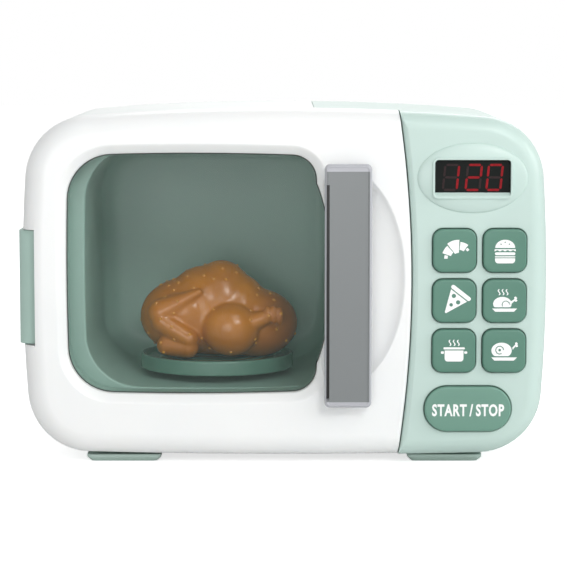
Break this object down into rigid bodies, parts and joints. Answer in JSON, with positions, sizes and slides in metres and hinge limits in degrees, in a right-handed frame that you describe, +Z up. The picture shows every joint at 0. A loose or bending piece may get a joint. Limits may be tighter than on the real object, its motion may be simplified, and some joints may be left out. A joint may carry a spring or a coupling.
{
  "type": "toy microwave oven",
  "caption": "Toy microwave oven with a hinged windowed door and bar handle, a panel of push buttons under a small display, and a geared turntable carrying a toy roast chicken.",
  "frame": {"origin": "centre of the bounding box on the plane under the feet", "axes": "+Z up, the door and panel face -Y, +X towards the control panel on the right as seen from the front"},
  "size_m": [0.2816, 0.1656, 0.1905],
  "materials": {
    "white": "white moulded ABS, satin gloss",
    "mint": "pale mint moulded ABS, satin gloss",
    "sage": "grey-green moulded plastic, satin",
    "green": "deep sage green key tops, satin",
    "plate_green": "green moulded plate, satin gloss",
    "silver": "silver-grey painted plastic, satin metallic",
    "steel": "zinc plated",
    "smoke": "clear plastic pane, faintly grey-green",
    "lens": "dark smoked display cover, glossy",
    "board": "green circuit board",
    "rubber": "grey silicone rubber",
    "black": "black moulded plastic",
    "nylon": "natural white nylon",
    "brown": "roast brown moulded plastic, satin gloss",
    "cell": "plain wrapped dry cell"
  },
  "bodies": {
    "cabinet": {"left_housing": "white", "right_housing": "mint", "rear_cover": "white", "cavity_liner": "sage", "hinge_block": "sage", "hinge_pin": "steel", "display_lens": "lens", "display_module": "black", "circuit_board": "board", "keypad_mat": "rubber", "speaker": "black", "battery_tray": "black", "battery_contact_upper": "steel", "battery_contact_lower": "steel", "battery_cover": "white", "battery_cover_screw": "steel", "drive_plate": "nylon", "drive_motor": "steel", "reduction_axle": "steel", "rear_screw_1": "steel", "liner_screw_1": "steel", "rear_screw_2": "steel", "liner_screw_2": "steel", "rear_screw_3": "steel", "liner_screw_3": "steel", "rear_screw_4": "steel", "liner_screw_4": "steel", "drive_screw_1": "steel", "battery_1": "cell", "drive_screw_2": "steel", "battery_2": "cell", "drive_screw_3": "steel", "battery_3": "cell", "foot_front_left": "sage", "foot_front_right": "sage", "foot_rear_left": "sage", "foot_rear_right": "sage"},
    "door": {"door_frame": "white", "door_window": "smoke", "door_back_frame": "sage", "door_handle": "silver", "door_screw_1": "steel", "door_screw_2": "steel", "door_screw_3": "steel", "door_screw_4": "steel"},
    "turntable": {"turntable_spindle": "nylon", "turntable_plate": "plate_green"},
    "chicken": {"toy_chicken": "brown"},
    "reduction": {"reduction_gear": "nylon"},
    "pinion": {"motor_pinion": "nylon"},
    "key_croissant": {"button_croissant": "green"},
    "key_burger": {"button_burger": "green"},
    "key_pizza": {"button_pizza": "green"},
    "key_roast_chicken": {"button_roast_chicken": "green"},
    "key_pot": {"button_pot": "green"},
    "key_ham": {"button_ham": "green"},
    "key_start_stop": {"button_start_stop": "green"}
  },
  "joints": [
    {"name": "door_hinge", "type": "hinge", "parent": "cabinet", "child": "door", "pos_m": [-0.1323, -0.05775, 0.0953], "axis": [0, 0, -1], "range_deg": [0, 110]},
    {"name": "turntable_spin", "type": "hinge", "parent": "cabinet", "child": "turntable", "pos_m": [-0.0372, 0.00525, 0.045], "axis": [0, 0, 1], "continuous": true},
    {"name": "reduction_spin", "type": "hinge", "parent": "cabinet", "child": "reduction", "pos_m": [-0.0102, 0.00525, 0.03], "axis": [0, 0, 1], "continuous": true},
    {"name": "pinion_spin", "type": "hinge", "parent": "cabinet", "child": "pinion", "pos_m": [0.0018, 0.02603, 0.0278], "axis": [0, 0, 1], "continuous": true},
    {"name": "chicken_lift", "type": "slide", "parent": "turntable", "child": "chicken", "axis": [0, 0, 1], "range_m": [0, 0.045]},
    {"name": "croissant_press", "type": "slide", "parent": "cabinet", "child": "key_croissant", "axis": [0, 1, 0], "range_m": [0, 0.0015], "stiffness_N_per_m": 200, "springref_m": -0.0005},
    {"name": "burger_press", "type": "slide", "parent": "cabinet", "child": "key_burger", "axis": [0, 1, 0], "range_m": [0, 0.0015], "stiffness_N_per_m": 200, "springref_m": -0.0005},
    {"name": "pizza_press", "type": "slide", "parent": "cabinet", "child": "key_pizza", "axis": [0, 1, 0], "range_m": [0, 0.0015], "stiffness_N_per_m": 200, "springref_m": -0.0005},
    {"name": "roast_chicken_press", "type": "slide", "parent": "cabinet", "child": "key_roast_chicken", "axis": [0, 1, 0], "range_m": [0, 0.0015], "stiffness_N_per_m": 200, "springref_m": -0.0005},
    {"name": "pot_press", "type": "slide", "parent": "cabinet", "child": "key_pot", "axis": [0, 1, 0], "range_m": [0, 0.0015], "stiffness_N_per_m": 200, "springref_m": -0.0005},
    {"name": "ham_press", "type": "slide", "parent": "cabinet", "child": "key_ham", "axis": [0, 1, 0], "range_m": [0, 0.0015], "stiffness_N_per_m": 200, "springref_m": -0.0005},
    {"name": "start_stop_press", "type": "slide", "parent": "cabinet", "child": "key_start_stop", "axis": [0, 1, 0], "range_m": [0, 0.0015], "stiffness_N_per_m": 200, "springref_m": -0.0005}
  ],
  "couplings": [
    {"joint": "reduction_spin", "follows": "turntable_spin", "ratio": -2.6},
    {"joint": "pinion_spin", "follows": "turntable_spin", "ratio": 5.72}
  ]
}
